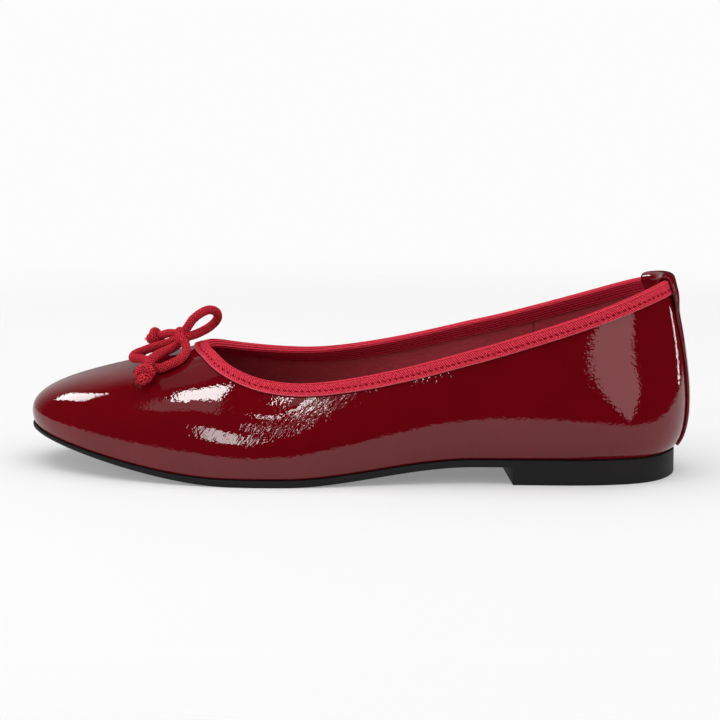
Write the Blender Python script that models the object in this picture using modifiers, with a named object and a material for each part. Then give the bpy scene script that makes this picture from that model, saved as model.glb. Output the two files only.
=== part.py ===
"""Ballet flat for the left foot: outsole, low heel block, hollow upper, insole, topline binding,
back strap and a cord bow. Metres, +Z up, toe towards -X, outer side towards -Y, and the origin
on the floor in the middle of the heel's resting face."""

import math
from collections import namedtuple

import bmesh
import bpy
import numpy as np
from mathutils import Vector
from mathutils.bvhtree import BVHTree

# Driving dimensions of the shoe
LENGTH = 0.250  # toe tip to the furthest point of the back
BALL_WIDTH = 0.080  # across the sole line at the ball
INSTEP_HEIGHT = 0.0430  # throat of the opening above the sole
BACK_HEIGHT = 0.0635  # top of the back above the heel seat
HEEL_HEIGHT = 0.0094  # floor to the seat, heel block and sole together
TOE_SPRING = 0.0141  # the sole's tip above the floor

# Sole and heel
SOLE_THICKNESS = 0.0027
TOE_THICKNESS = 0.0012  # the sole thins towards the tip
SOLE_MARGIN = 0.0008  # how far the sole stands out past the upper's lower edge
SPRING_SHARE = 0.335  # the toe spring ends at this share of the length
SPRING_SOFTNESS = 0.42  # how gently the spring starts
ARCH_START_SHARE = 0.412  # where the sole leaves the floor behind the ball
ARCH_END_SHARE = 0.69  # where it reaches the height of the seat
BREAST_SHARE = 0.727  # the heel's front face, on the centre line
BREAST_TURN = math.radians(9.0)  # the inner side's corner is further forward
HEEL_CENTRE_SHARE = 0.852  # the origin, in the middle of the heel's resting face

# Upper, binding and strap
WALL = 0.0014
TAPE_THICKNESS = 0.0007
TAPE_LEG = 0.0048  # how far the binding reaches down each face of the wall
TAPE_ROLL = 0.0011  # the folded edge's height over the wall's rim
STRAP_WIDTH = 0.0135
STRAP_THICKNESS = 0.0011
STRAP_INSIDE = 0.0085  # how far the strap hangs down inside
STRAP_FLARE = 0.0068  # how much further it reaches on the inner side once it is over the rim
INSOLE_THICKNESS = 0.0018
FIT = 0.0003  # clearance wherever two pieces meet

CORD = 0.0030  # diameter of the bow's cord

# Grid sizes of the faceted solids
ROUND_STEPS = 96
WALL_STEPS = 12
STRAP_ACROSS = 6
STRAP_ROWS = 18
SOLE_SLICES = 30
CORD_STEP_SHARE = 0.65  # distance between a cord's points, as a share of its diameter
CORD_ROUND_STEPS = 2
KNOT_COLUMNS = 16
KNOT_RINGS = 10

# One row for each station round the shoe, from the toe by the outer side. The shares along are of
# LENGTH and those across are of BALL_WIDTH. The rim's height over the sole is its instep share of
# INSTEP_HEIGHT and its back share of BACK_HEIGHT. The wall leaves the sole and meets the rim at the
# two leans, in degrees over the level, and the two reaches are shares of the wall's straight height.
Station = namedtuple(
    "Station",
    "place sole_along sole_across rim_along rim_across instep back foot_lean foot_reach rim_lean rim_reach",
)
STATIONS = [
    Station("toe", 0.012, 0.060, 0.278, 0.040, 1.000, 0.00, 66, 0.240, 15, 0.60),
    Station("toe, outer", 0.036, -0.125, 0.282, -0.045, 0.990, 0.000, 73, 0.245, 16, 0.58),
    Station("small toes", 0.104, -0.300, 0.294, -0.130, 0.975, 0.000, 77, 0.290, 20, 0.52),
    Station("fore, outer", 0.208, -0.430, 0.316, -0.225, 0.910, 0.000, 82, 0.370, 30, 0.45),
    Station("ball, outer", 0.352, -0.500, 0.378, -0.300, 0.790, 0.000, 84, 0.450, 46, 0.42),
    Station("waist front, outer", 0.488, -0.455, 0.492, -0.330, 0.565, 0.147, 76, 0.490, 60, 0.38),
    Station("waist, outer", 0.624, -0.380, 0.630, -0.325, 0.310, 0.372, 70, 0.445, 72, 0.36),
    Station("seat, outer", 0.770, -0.353, 0.768, -0.312, 0.100, 0.662, 58, 0.370, 78, 0.36),
    Station("heel, outer", 0.892, -0.320, 0.887, -0.256, 0.000, 0.885, 36, 0.260, 79, 0.37),
    Station("heel corner, outer", 0.959, -0.205, 0.950, -0.132, 0.000, 0.972, 27, 0.180, 77, 0.38),
    Station("back", 0.981, 0.035, 0.973, 0.033, 0.000, 1.000, 32, 0.19, 75, 0.385),
    Station("heel corner, inner", 0.948, 0.240, 0.941, 0.180, 0.000, 0.972, 29, 0.190, 77, 0.38),
    Station("heel, inner", 0.879, 0.322, 0.873, 0.264, 0.000, 0.885, 38, 0.270, 79, 0.37),
    Station("seat, inner", 0.762, 0.307, 0.762, 0.298, 0.110, 0.678, 58, 0.370, 78, 0.36),
    Station("waist, inner", 0.624, 0.300, 0.630, 0.315, 0.350, 0.395, 68, 0.430, 74, 0.36),
    Station("waist front, inner", 0.480, 0.395, 0.492, 0.335, 0.640, 0.155, 74, 0.460, 64, 0.38),
    Station("ball, inner", 0.320, 0.500, 0.378, 0.330, 0.870, 0.000, 80, 0.420, 50, 0.42),
    Station("fore, inner", 0.180, 0.470, 0.314, 0.275, 0.921, 0.000, 78, 0.360, 33, 0.46),
    Station("great toe", 0.080, 0.355, 0.292, 0.195, 0.962, 0.000, 74, 0.290, 22, 0.53),
    Station("toe, inner", 0.026, 0.215, 0.282, 0.120, 0.986, 0.000, 70, 0.250, 17, 0.58),
]

# The bow lies in front of the opening. One row for each point of a strand: its shares of LENGTH and
# BALL_WIDTH, as above, and its lift over a cord that lies on the vamp, in cord diameters.
RoutePoint = namedtuple("RoutePoint", "along across lift")
STRANDS = {
    "near_loop": [
        RoutePoint(0.2240, 0.006, 0.77),
        RoutePoint(0.2150, 0.002, 0.66),
        RoutePoint(0.2070, -0.002, 0.65),
        RoutePoint(0.1990, -0.010, 0.65),
        RoutePoint(0.1900, -0.020, 0.64),
        RoutePoint(0.1820, -0.031, 0.60),
        RoutePoint(0.1750, -0.045, 0.59),
        RoutePoint(0.1705, -0.065, 0.58),
        RoutePoint(0.1700, -0.087, 0.46),
        RoutePoint(0.1760, -0.107, 0.30),
        RoutePoint(0.1850, -0.122, 0.18),
        RoutePoint(0.1930, -0.146, 0.07),
        RoutePoint(0.2000, -0.178, 0.03),
        RoutePoint(0.2080, -0.206, 0.03),
        RoutePoint(0.2170, -0.217, 0.03),
        RoutePoint(0.2260, -0.210, 0.03),
        RoutePoint(0.2340, -0.199, 0.03),
        RoutePoint(0.2420, -0.183, 0.03),
        RoutePoint(0.2480, -0.158, 0.03),
        RoutePoint(0.2510, -0.124, 0.08),
        RoutePoint(0.2510, -0.096, 0.33),
        RoutePoint(0.2480, -0.074, 0.80),
        RoutePoint(0.2420, -0.058, 1.22),
        RoutePoint(0.2380, -0.049, 1.40),
    ],
    "near_tail": [
        RoutePoint(0.2340, -0.043, 0.46),
        RoutePoint(0.2250, -0.075, 0.46),
        RoutePoint(0.2150, -0.125, 0.70),
        RoutePoint(0.2070, -0.180, 1.10),
        RoutePoint(0.2010, -0.225, 1.25),
        RoutePoint(0.1985, -0.241, 1.17),
    ],
    "far_loop": [
        RoutePoint(0.2470, 0.038, 1.88),
        RoutePoint(0.2515, 0.042, 2.36),
        RoutePoint(0.2570, 0.045, 2.82),
        RoutePoint(0.2670, 0.055, 3.30),
        RoutePoint(0.2790, 0.082, 3.44),
        RoutePoint(0.2880, 0.123, 3.58),
        RoutePoint(0.2900, 0.152, 2.80),
        RoutePoint(0.2850, 0.162, 1.82),
        RoutePoint(0.2760, 0.145, 1.28),
        RoutePoint(0.2670, 0.107, 0.94),
        RoutePoint(0.2605, 0.068, 0.78),
        RoutePoint(0.2560, 0.046, 0.78),
    ],
    "far_tail": [
        RoutePoint(0.2275, 0.042, 1.62),
        RoutePoint(0.2220, 0.052, 1.76),
        RoutePoint(0.2165, 0.066, 1.85),
        RoutePoint(0.2110, 0.083, 1.80),
        RoutePoint(0.2070, 0.098, 1.66),
    ],
}

# The knots, by their middle points and their sizes in cord diameters
Knot = namedtuple("Knot", "name along across lift length breadth height")
KNOTS = [
    Knot("bow_knot", 0.2400, 0.013, 1.16, 2.40, 2.00, 1.73),
    Knot("near_tail_knot", 0.1955, -0.286, 1.02, 2.50, 2.50, 2.50),
    Knot("far_tail_knot", 0.1950, 0.118, 1.53, 1.87, 1.87, 1.87),
]


def smooth_step(share):
    share = np.clip(share, 0.0, 1.0)
    return share * share * (3.0 - 2.0 * share)


def sole_bottom(x):
    """Height of the sole's underside: toe spring, flat tread, arch and seat."""
    along = x / LENGTH + HEEL_CENTRE_SHARE
    forward = np.clip(1.0 - along / SPRING_SHARE, 0.0, None)
    soft = SPRING_SOFTNESS
    spring = (np.sqrt(forward**2 + soft**2) - soft) / (math.hypot(1.0, soft) - soft)
    arch = smooth_step((along - ARCH_START_SHARE) / (ARCH_END_SHARE - ARCH_START_SHARE))
    return TOE_SPRING * spring + arch * (HEEL_HEIGHT - SOLE_THICKNESS)


def sole_top(x):
    along = x / LENGTH + HEEL_CENTRE_SHARE
    thin = np.clip(1.0 - along / SPRING_SHARE, 0.0, 1.0)
    return sole_bottom(x) + SOLE_THICKNESS + (TOE_THICKNESS - SOLE_THICKNESS) * thin


def insole_bottom(x):
    return sole_top(x) + FIT


def insole_top(x):
    return insole_bottom(x) + INSOLE_THICKNESS


# The smooth closed curve through the stations
def station_sizes(row):
    """Sole point, rim point, rim height, leans and reaches of a station, in metres and radians."""
    return [
        (row.sole_along - HEEL_CENTRE_SHARE) * LENGTH,
        row.sole_across * BALL_WIDTH,
        (row.rim_along - HEEL_CENTRE_SHARE) * LENGTH,
        row.rim_across * BALL_WIDTH,
        row.instep * INSTEP_HEIGHT + row.back * BACK_HEIGHT,
        math.radians(row.foot_lean),
        row.foot_reach,
        math.radians(row.rim_lean),
        row.rim_reach,
    ]


def closed_spline(rows):
    """Knots, steps, values and bends of the smooth closed curve through the rows. The knots run
    from 0 to 1 by the way that the sole line and the rim go together."""
    rows = np.array(rows)
    following = np.roll(rows, -1, axis=0)
    stride = np.linalg.norm((following - rows)[:, 0:2], axis=1)
    stride += np.linalg.norm((following - rows)[:, 2:4], axis=1)
    step = stride / stride.sum()
    knots = np.concatenate([[0.0], np.cumsum(step)[:-1]])
    slope = (following - rows) / step[:, None]
    before = np.roll(step, 1)
    count = len(rows)
    system = np.zeros((count, count))
    for i in range(count):
        system[i, i - 1] += before[i]
        system[i, i] += 2.0 * (before[i] + step[i])
        system[i, (i + 1) % count] += step[i]
    bend = np.linalg.solve(system, 6.0 * (slope - np.roll(slope, 1, axis=0)))
    return knots, step, rows, bend


SPLINE = closed_spline([station_sizes(row) for row in STATIONS])
BACK_PLACE = SPLINE[0][[row.place for row in STATIONS].index("back")]


def round_the_shoe(place):
    """The station sizes at any place round the shoe, 0 to 1."""
    knots, step, rows, bend = SPLINE
    place = np.mod(place, 1.0)
    i = np.clip(np.searchsorted(knots, place, side="right") - 1, 0, len(knots) - 1)
    j = (i + 1) % len(knots)
    h = step[i][..., None]
    t = (place - knots[i])[..., None]
    r = h - t
    bent = (bend[i] * r**3 + bend[j] * t**3) / (6.0 * h)
    return bent + (rows[i] / h - bend[i] * h / 6.0) * r + (rows[j] / h - bend[j] * h / 6.0) * t


def outward(place, first):
    """Level unit direction out of the closed curve whose x is in that column."""
    small = 1e-4
    ahead = round_the_shoe(place + small)[..., first : first + 2]
    behind = round_the_shoe(place - small)[..., first : first + 2]
    way = ahead - behind
    way = way / np.linalg.norm(way, axis=-1, keepdims=True)
    return np.stack([way[..., 1], -way[..., 0]], axis=-1)


def sole_line(place, margin=0.0):
    """The upper's lower edge in plan, moved out by a margin."""
    place = np.asarray(place, float)
    return round_the_shoe(place)[..., 0:2] + outward(place, 0) * margin


def upper_face(place, up):
    """The upper's outer face: place goes round the shoe, up from 0 at the sole to 1 at the rim."""
    place, up = np.broadcast_arrays(np.asarray(place, float), np.asarray(up, float))
    size = round_the_shoe(place)
    foot = np.concatenate([size[..., 0:2], (sole_top(size[..., 0]) + FIT)[..., None]], axis=-1)
    rim_height = sole_top(size[..., 2]) + size[..., 4]
    rim = np.concatenate([size[..., 2:4], rim_height[..., None]], axis=-1)
    chord = np.linalg.norm(rim - foot, axis=-1, keepdims=True)
    foot_way = np.concatenate(
        [outward(place, 0) * np.cos(size[..., 5:6]), np.sin(size[..., 5:6])], axis=-1
    )
    rim_way = np.concatenate(
        [outward(place, 2) * np.cos(size[..., 7:8]), -np.sin(size[..., 7:8])], axis=-1
    )
    low = foot + foot_way * chord * size[..., 6:7]
    high = rim + rim_way * chord * size[..., 8:9]
    t = up[..., None]
    s = 1.0 - t
    return s**3 * foot + 3.0 * s * s * t * low + 3.0 * s * t * t * high + t**3 * rim


def upper_normal(place, up):
    """Unit normal of the outer face, pointing out of the shoe."""
    small = 1e-4
    up = np.clip(up, small, 1.0 - small)
    across = upper_face(place + small, up) - upper_face(place - small, up)
    upward = upper_face(place, up + small) - upper_face(place, up - small)
    normal = np.cross(across, upward)
    return normal / np.linalg.norm(normal, axis=-1, keepdims=True)


def up_at_depth(place, depth):
    """How far up the wall a point lies that is so deep under the rim, along the face."""
    ups = np.linspace(0.0, 1.0, 81)
    line = upper_face(np.full_like(ups, place), ups)
    along = np.concatenate([[0.0], np.cumsum(np.linalg.norm(np.diff(line, axis=0), axis=1))])
    return np.interp(along[-1] - depth, along, ups)


def over_wall(place, depth, off):
    """A point that deep under the rim and that far off the outer face. A negative depth goes on
    past the rim in line with the wall."""
    place = float(place)
    up = up_at_depth(place, max(depth, 0.0))
    point = upper_face(place, up)
    normal = upper_normal(place, up)
    if depth < 0.0:
        around = upper_face(place + 1e-4, 1.0) - upper_face(place - 1e-4, 1.0)
        rising = np.cross(normal, around / np.linalg.norm(around))
        point = point - rising * depth
    return point + normal * off


# Making objects
def colour(code):
    """Linear colour of an sRGB hex code."""
    parts = [int(code[i : i + 2], 16) / 255.0 for i in (1, 3, 5)]
    linear = [p / 12.92 if p <= 0.04045 else ((p + 0.055) / 1.055) ** 2.4 for p in parts]
    return (*linear, 1.0)


def material(name, code, roughness):
    made = bpy.data.materials.new(name)
    made.use_nodes = True
    shader = made.node_tree.nodes["Principled BSDF"]
    shader.inputs["Base Color"].default_value = colour(code)
    shader.inputs["Roughness"].default_value = roughness
    shader.inputs["Metallic"].default_value = 0.0
    return made


def add_object(name, data, group, finish):
    data.materials.append(finish)
    made = bpy.data.objects.new(name, data)
    group.objects.link(made)
    return made


def add_mesh(name, bm, group, finish):
    mesh = bpy.data.meshes.new(name)
    bm.to_mesh(mesh)
    bm.free()
    mesh.shade_smooth()
    mesh.set_sharp_from_angle(angle=math.radians(40.0))
    return add_object(name, mesh, group, finish)


def mapped_grid(columns, rows, place_vertex):
    """A grid whose vertices are moved by a function of their two shares, 0 to 1."""
    bm = bmesh.new()
    bmesh.ops.create_grid(bm, x_segments=columns, y_segments=rows, size=0.5)
    for vertex in bm.verts:
        vertex.co = Vector(place_vertex(vertex.co.x + 0.5, vertex.co.y + 0.5))
    bmesh.ops.remove_doubles(bm, verts=bm.verts, dist=1e-6)
    return bm


def plate(margin, low, high, slices):
    """A solid with the sole line's outline, moved out by a margin, between two height functions.
    It is sliced across where the tread starts and ends, so that the tread is flat."""
    bm = bmesh.new()
    bmesh.ops.create_circle(bm, cap_ends=True, segments=ROUND_STEPS, radius=1.0)
    places = np.arange(ROUND_STEPS) / ROUND_STEPS
    for vertex, point in zip(list(bm.verts), sole_line(places, margin)):
        vertex.co = Vector((*point, 0.0))
    start = min(vertex.co.x for vertex in bm.verts)
    end = max(vertex.co.x for vertex in bm.verts)
    cuts = [start + (end - start) * i / slices for i in range(1, slices)]
    cuts += [(share - HEEL_CENTRE_SHARE) * LENGTH for share in (SPRING_SHARE, ARCH_START_SHARE)]
    for cut in cuts:
        geometry = bm.verts[:] + bm.edges[:] + bm.faces[:]
        bmesh.ops.bisect_plane(bm, geom=geometry, dist=1e-6, plane_co=(cut, 0, 0), plane_no=(1, 0, 0))
    bmesh.ops.recalc_face_normals(bm, faces=bm.faces)
    lower = list(bm.verts)
    raised = bmesh.ops.extrude_face_region(bm, geom=bm.faces[:])
    upper = [item for item in raised["geom"] if isinstance(item, bmesh.types.BMVert)]
    for vertex in lower:
        vertex.co.z = float(low(vertex.co.x))
    for vertex in upper:
        vertex.co.z = float(high(vertex.co.x))
    bmesh.ops.recalc_face_normals(bm, faces=bm.faces)
    return bm


def add_outsole(group, finish):
    return add_mesh("outsole", plate(SOLE_MARGIN, sole_bottom, sole_top, SOLE_SLICES), group, finish)


def add_heel(group, finish):
    """The block under the seat: the sole's outline, cut off square at the breast."""

    def floor(x):
        return 0.0

    def seat(x):
        return HEEL_HEIGHT - SOLE_THICKNESS - FIT

    bm = plate(SOLE_MARGIN, floor, seat, 1)
    breast = ((BREAST_SHARE - HEEL_CENTRE_SHARE) * LENGTH, 0, 0)
    facing = (math.cos(BREAST_TURN), math.sin(BREAST_TURN), 0)
    geometry = bm.verts[:] + bm.edges[:] + bm.faces[:]
    bmesh.ops.bisect_plane(bm, geom=geometry, plane_co=breast, plane_no=facing, clear_inner=True)
    bmesh.ops.holes_fill(bm, edges=[edge for edge in bm.edges if edge.is_boundary], sides=0)
    bmesh.ops.recalc_face_normals(bm, faces=bm.faces)
    return add_mesh("heel", bm, group, finish)


def add_upper(group, finish):
    made = add_mesh("upper", mapped_grid(ROUND_STEPS, WALL_STEPS, upper_face), group, finish)
    wall = made.modifiers.new("wall", "SOLIDIFY")
    wall.thickness = WALL
    wall.offset = -1.0
    wall.use_even_offset = True
    return made


def add_insole(group, finish):
    inset = -(WALL + 3.0 * FIT)
    return add_mesh("insole", plate(inset, insole_bottom, insole_top, SOLE_SLICES), group, finish)


def fold_section(gap, leg_outside, leg_inside, steps):
    """Depth and offset of a line folded over the rim at that gap from the wall, from the outer leg's
    lower end to the inner leg's."""
    middle = -WALL / 2.0
    half = WALL / 2.0 + gap
    rise = TAPE_ROLL - TAPE_THICKNESS + gap - FIT
    turns = [math.pi * i / steps for i in range(steps + 1)]
    roll = [(-rise * math.sin(turn), middle + half * math.cos(turn)) for turn in turns]
    return [(leg_outside, gap), *roll, (leg_inside, middle - half)]


def add_binding(group, finish):
    """Tape folded over the rim all the way round: outer line down, then the inner line back."""
    outside = fold_section(FIT + TAPE_THICKNESS, TAPE_LEG, TAPE_LEG, 6)
    inside = fold_section(FIT, TAPE_LEG, TAPE_LEG, 4)
    section = outside + inside[::-1]
    section.append(section[0])

    def vertex(x, y):
        depth, off = section[round(y * (len(section) - 1))]
        return over_wall(x, depth, off)

    bm = mapped_grid(ROUND_STEPS, len(section) - 1, vertex)
    bmesh.ops.recalc_face_normals(bm, faces=bm.faces)
    return add_mesh("topline_binding", bm, group, finish)


def strap_line():
    """Depth and offset of the strap's inner face, up the back seam, over the binding and inside, and
    how much of its flare it has there."""
    seam = np.linalg.norm(np.diff(upper_face(BACK_PLACE, np.linspace(0, 1, 81)), axis=0), axis=1).sum()
    over_tape = FIT + TAPE_THICKNESS + FIT
    step = 2.0 * STRAP_THICKNESS
    flat_ends = np.linspace(seam - step, TAPE_LEG + step, STRAP_ROWS)
    line = [(float(depth), FIT, 0.0) for depth in flat_ends]
    over = fold_section(over_tape, TAPE_LEG - FIT, TAPE_LEG - FIT, 6)
    flares = smooth_step(np.arange(len(over)) / 3.0)
    line += [(depth, off, float(flare)) for (depth, off), flare in zip(over, flares)]
    line.append((STRAP_INSIDE, -(WALL + over_tape), 1.0))
    return line


def add_strap(group, finish):
    line = strap_line()

    def vertex(x, y):
        depth, off, flare = line[round(y * (len(line) - 1))]
        up = up_at_depth(BACK_PLACE, max(depth, 0.0))
        beside = upper_face(BACK_PLACE + 1e-4, up) - upper_face(BACK_PLACE - 1e-4, up)
        metres_round = np.linalg.norm(beside) / 2e-4
        aside = x * (STRAP_WIDTH + flare * STRAP_FLARE) - STRAP_WIDTH / 2.0
        return over_wall(BACK_PLACE + aside / metres_round, depth, off)

    made = add_mesh("back_strap", mapped_grid(STRAP_ACROSS, len(line) - 1, vertex), group, finish)
    leather = made.modifiers.new("leather", "SOLIDIFY")
    leather.thickness = STRAP_THICKNESS
    leather.offset = 1.0
    leather.use_even_offset = True
    return made


def cord_place(vamp, row):
    """Middle of the cord at a route point. In front of the opening its lift counts from a cord that
    lies on the vamp, and past the throat from the throat's height."""
    x = (row.along - HEEL_CENTRE_SHARE) * LENGTH
    y = row.across * BALL_WIDTH
    hit, normal, _, _ = vamp.ray_cast(Vector((x, y, LENGTH)), Vector((0, 0, -1)))
    if hit is None:
        lying = float(upper_face(0.0, 1.0)[2])
    else:
        lying = hit.z + (CORD / 2.0 + FIT) / abs(normal.z)
    return Vector((x, y, lying + row.lift * CORD))


def smooth_route(places, step):
    """Points at even distances on the smooth curve through a route's own points."""
    rows = np.array(places)
    padded = np.vstack([2.0 * rows[0] - rows[1], rows, 2.0 * rows[-1] - rows[-2]])
    t = np.linspace(0.0, 1.0, 12, endpoint=False)[:, None]
    fine = []
    for a, b, c, d in zip(padded, padded[1:], padded[2:], padded[3:]):
        bent = (c - a) + t * (2.0 * a - 5.0 * b + 4.0 * c - d) + t * t * (3.0 * (b - c) + d - a)
        fine.append(b + 0.5 * t * bent)
    fine = np.vstack([*fine, rows[-1:]])
    along = np.concatenate([[0.0], np.cumsum(np.linalg.norm(np.diff(fine, axis=0), axis=1))])
    stops = np.linspace(0.0, along[-1], max(3, round(along[-1] / step) + 1))
    return np.stack([np.interp(stops, along, fine[:, axis]) for axis in range(3)], axis=1)


def add_strand(name, vamp, rows, group, finish):
    points = smooth_route([cord_place(vamp, row) for row in rows], CORD * CORD_STEP_SHARE)
    curve = bpy.data.curves.new(name, "CURVE")
    curve.dimensions = "3D"
    curve.bevel_depth = CORD / 2.0
    curve.bevel_resolution = CORD_ROUND_STEPS
    curve.use_fill_caps = True
    spline = curve.splines.new("POLY")
    spline.points.add(len(points) - 1)
    for target, point in zip(spline.points, points):
        target.co = (*point, 1.0)
    return add_object(name, curve, group, finish)


def add_knot(vamp, row, group, finish):
    bm = bmesh.new()
    bmesh.ops.create_uvsphere(bm, u_segments=KNOT_COLUMNS, v_segments=KNOT_RINGS, radius=CORD / 2.0)
    bmesh.ops.scale(bm, vec=(row.length, row.breadth, row.height), verts=bm.verts)
    bmesh.ops.translate(bm, vec=cord_place(vamp, row), verts=bm.verts)
    return add_mesh(row.name, bm, group, finish)


def add_bow(group, finish):
    vamp = BVHTree.FromBMesh(mapped_grid(ROUND_STEPS, WALL_STEPS, upper_face))
    for name, rows in STRANDS.items():
        add_strand(name, vamp, rows, group, finish)
    for row in KNOTS:
        add_knot(vamp, row, group, finish)


def main():
    for old in list(bpy.data.objects):
        bpy.data.objects.remove(old, do_unlink=True)
    group = bpy.data.collections.new("ballet_flat")
    bpy.context.scene.collection.children.link(group)
    patent = material("burgundy_patent", "#5e020c", 0.12)
    tape = material("red_tape", "#b52e3b", 0.7)
    rubber = material("black_rubber", "#272727", 0.6)
    sock = material("burgundy_sock", "#6c1d23", 0.65)
    cord = material("red_cord", "#c6434f", 0.75)
    add_outsole(group, rubber)
    add_heel(group, rubber)
    add_upper(group, patent)
    add_insole(group, sock)
    add_binding(group, tape)
    add_strap(group, patent)
    add_bow(group, cord)


main()
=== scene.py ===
"""Ballet flat for the left foot: burgundy crinkle patent upper, red ribbed binding, patent back
strap, cord bow, black sole and heel. Metres, toe towards -X, outer side towards -Y, and the floor
at z = 0."""

import math
from collections import namedtuple

import bmesh
import bpy
import numpy as np
from mathutils import Matrix, Vector


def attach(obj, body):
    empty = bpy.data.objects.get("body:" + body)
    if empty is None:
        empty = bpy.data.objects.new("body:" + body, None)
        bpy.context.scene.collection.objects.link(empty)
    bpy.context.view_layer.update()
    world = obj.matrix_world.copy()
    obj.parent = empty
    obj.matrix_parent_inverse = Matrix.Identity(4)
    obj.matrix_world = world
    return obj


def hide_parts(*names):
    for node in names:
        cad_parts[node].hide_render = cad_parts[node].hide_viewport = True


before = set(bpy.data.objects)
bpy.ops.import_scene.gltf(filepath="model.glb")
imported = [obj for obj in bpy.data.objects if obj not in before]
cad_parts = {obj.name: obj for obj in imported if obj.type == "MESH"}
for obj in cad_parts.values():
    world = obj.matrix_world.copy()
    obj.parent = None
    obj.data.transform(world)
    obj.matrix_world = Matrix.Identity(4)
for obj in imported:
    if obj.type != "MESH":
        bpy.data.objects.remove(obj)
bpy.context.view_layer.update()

# Sizes of the shoe. A share is of its length, from the toe.
LENGTH = 0.250
BALL_WIDTH = 0.080  # across the sole line at the ball
INSTEP_HEIGHT = 0.0430  # the rim over the sole at the throat
BACK_HEIGHT = 0.0635  # and at the back
HEEL_HEIGHT = 0.0094
TOE_SPRING = 0.0141  # how far the toe's tip stands off the floor
SOLE_THICKNESS = 0.0027
TOE_THICKNESS = 0.0012  # of the sole at the toe's tip
SOLE_MARGIN = 0.0008  # how far the sole stands out past the upper
SPRING_SHARE = 0.335  # where the toe spring starts
SPRING_SOFTNESS = 0.42
ARCH_START_SHARE = 0.412  # where the sole leaves the floor behind the ball
ARCH_END_SHARE = 0.69
BREAST_SHARE = 0.727  # the heel's front face, which is turned a little
BREAST_TURN = math.radians(9.0)
HEEL_CENTRE_SHARE = 0.852  # where x is 0
WALL = 0.0014
TAPE_THICKNESS = 0.0007
TAPE_LEG = 0.0048  # how far the binding reaches down each side of the rim
TAPE_ROLL = 0.0011  # how far it stands over the rim
STITCH_DEPTH = 0.0030  # the binding's stitch line, below the rim
STITCH_SPACING = 0.0022
LINING_SEAM = -0.0205  # where the lining's quarters are joined, along the shoe
STRAP_WIDTH = 0.0135
STRAP_THICKNESS = 0.0011
STRAP_INSIDE = 0.0085  # how far the strap reaches down inside the rim
STRAP_FLARE = 0.0068  # how much wider it is there
STRAP_DOWN = 0.0150  # below the rim, where the strap meets the upper again
INSOLE_THICKNESS = 0.0018
FIT = 0.0003  # the gap between parts that are glued or sewn together
CORD = 0.0030  # the cord of the solids, which sets the size of its braid
CORD_RADIUS = 0.0017  # as it looks, with its fuzz
THIN_CORD_RADIUS = 0.0016  # of the far tail and of the bow's wrap, which are drawn tight
STRAND_STEP = 0.0010  # from one crossing of the cord's strands to the next

# How fine the shapes are
NUDGE = 1e-4  # a step round or up the shoe, in shares, that gives its slope
SAME_PLACE = 1e-6  # vertices this near are one
WALL_STEPS = 121  # places up the wall where its length is measured
ROUTE_STEP = 0.00018  # between a cord's rings
CORD_SIDES = 36

# One row for each station round the shoe, from the toe by the outer side: shares of the length and
# of the ball's width, the rim's height as shares of the instep and of the back, and how the wall
# leaves the sole and meets the rim, in degrees over the level and in shares of its own height.
Station = namedtuple(
    "Station",
    "place sole_along sole_across rim_along rim_across instep back "
    "foot_lean foot_reach rim_lean rim_reach",
)
STATIONS = [
    Station("toe", 0.012, 0.060, 0.278, 0.040, 1.000, 0.00, 66, 0.240, 15, 0.60),
    Station("toe, outer", 0.036, -0.125, 0.282, -0.045, 0.990, 0.000, 73, 0.245, 16, 0.58),
    Station("small toes", 0.104, -0.300, 0.294, -0.130, 0.975, 0.000, 77, 0.290, 20, 0.52),
    Station("fore, outer", 0.208, -0.430, 0.316, -0.225, 0.910, 0.000, 82, 0.370, 30, 0.45),
    Station("ball, outer", 0.352, -0.500, 0.378, -0.300, 0.790, 0.000, 84, 0.450, 46, 0.42),
    Station("waist front, outer", 0.488, -0.455, 0.492, -0.330, 0.565, 0.147, 76, 0.490, 60, 0.38),
    Station("waist, outer", 0.624, -0.380, 0.630, -0.325, 0.310, 0.372, 70, 0.445, 72, 0.36),
    Station("seat, outer", 0.770, -0.353, 0.768, -0.312, 0.100, 0.662, 58, 0.370, 78, 0.36),
    Station("heel, outer", 0.892, -0.320, 0.887, -0.256, 0.000, 0.885, 36, 0.260, 79, 0.37),
    Station("heel corner, outer", 0.959, -0.205, 0.950, -0.132, 0.000, 0.972, 27, 0.180, 77, 0.38),
    Station("back", 0.981, 0.035, 0.973, 0.033, 0.000, 1.000, 32, 0.19, 75, 0.385),
    Station("heel corner, inner", 0.948, 0.240, 0.941, 0.180, 0.000, 0.972, 29, 0.190, 77, 0.38),
    Station("heel, inner", 0.879, 0.322, 0.873, 0.264, 0.000, 0.885, 38, 0.270, 79, 0.37),
    Station("seat, inner", 0.762, 0.307, 0.762, 0.298, 0.110, 0.678, 58, 0.370, 78, 0.36),
    Station("waist, inner", 0.624, 0.300, 0.630, 0.315, 0.350, 0.395, 68, 0.430, 74, 0.36),
    Station("waist front, inner", 0.480, 0.395, 0.492, 0.335, 0.640, 0.155, 74, 0.460, 64, 0.38),
    Station("ball, inner", 0.320, 0.500, 0.378, 0.330, 0.870, 0.000, 80, 0.420, 50, 0.42),
    Station("fore, inner", 0.180, 0.470, 0.314, 0.275, 0.921, 0.000, 78, 0.360, 33, 0.46),
    Station("great toe", 0.080, 0.355, 0.292, 0.195, 0.962, 0.000, 74, 0.290, 22, 0.53),
    Station("toe, inner", 0.026, 0.215, 0.282, 0.120, 0.986, 0.000, 70, 0.250, 17, 0.58),
]

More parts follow.
